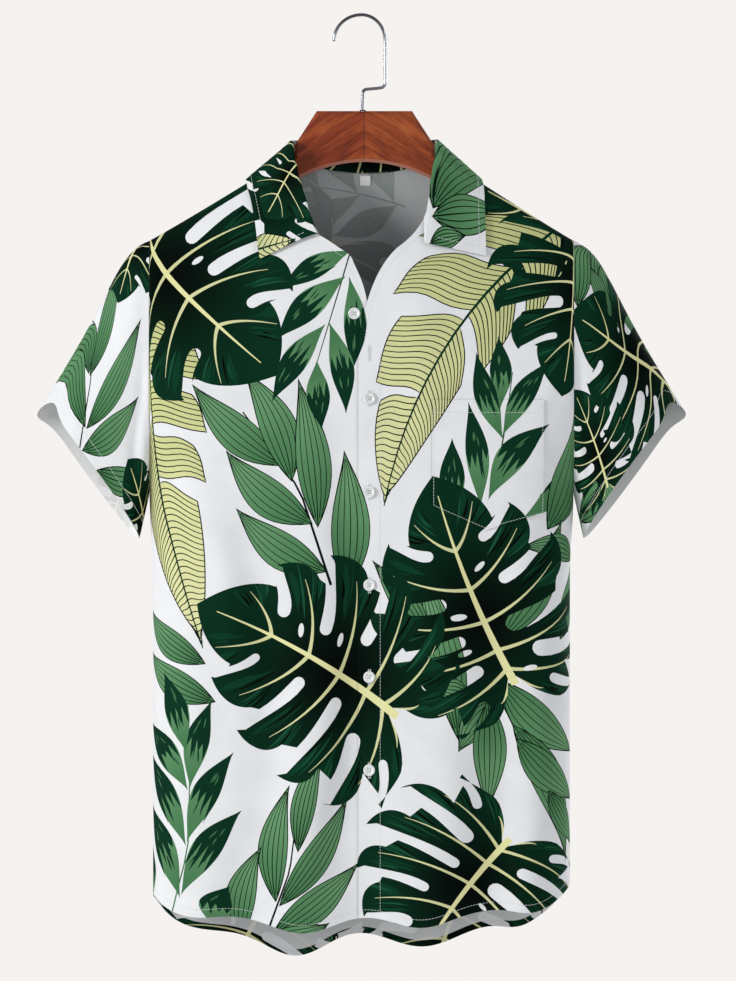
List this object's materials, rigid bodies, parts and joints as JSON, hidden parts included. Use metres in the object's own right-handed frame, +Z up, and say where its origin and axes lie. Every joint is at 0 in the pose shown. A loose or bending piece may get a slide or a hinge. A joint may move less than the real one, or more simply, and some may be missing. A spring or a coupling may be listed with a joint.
{
  "type": "hawaiian shirt on a hanger",
  "caption": "Short-sleeved button-front shirt with an open collar, chest pocket and curved wavy hem, hung on a flat wooden hanger with a wire hook.",
  "frame": {"origin": "inside of the hook's top, where a rail or peg holds it", "axes": "+Z up, -Y the way the shirt's front faces, +X towards the wearer's left"},
  "size_m": [0.651, 0.1147, 0.9463],
  "materials": {
    "fabric": "printed plain weave",
    "label": "woven tape",
    "button": "pearly gloss",
    "wood": "varnished",
    "hook": "polished"
  },
  "bodies": {
    "root": {"front_right": "fabric", "front_left": "fabric", "back": "fabric", "sleeve_right": "fabric", "sleeve_left": "fabric", "collar": "fabric", "pocket": "fabric", "size_label": "label", "button_1": "button", "button_2": "button", "button_3": "button", "button_4": "button", "button_5": "button", "button_6": "button", "hanger_body": "wood", "hook": "hook"}
  },
  "joints": []
}
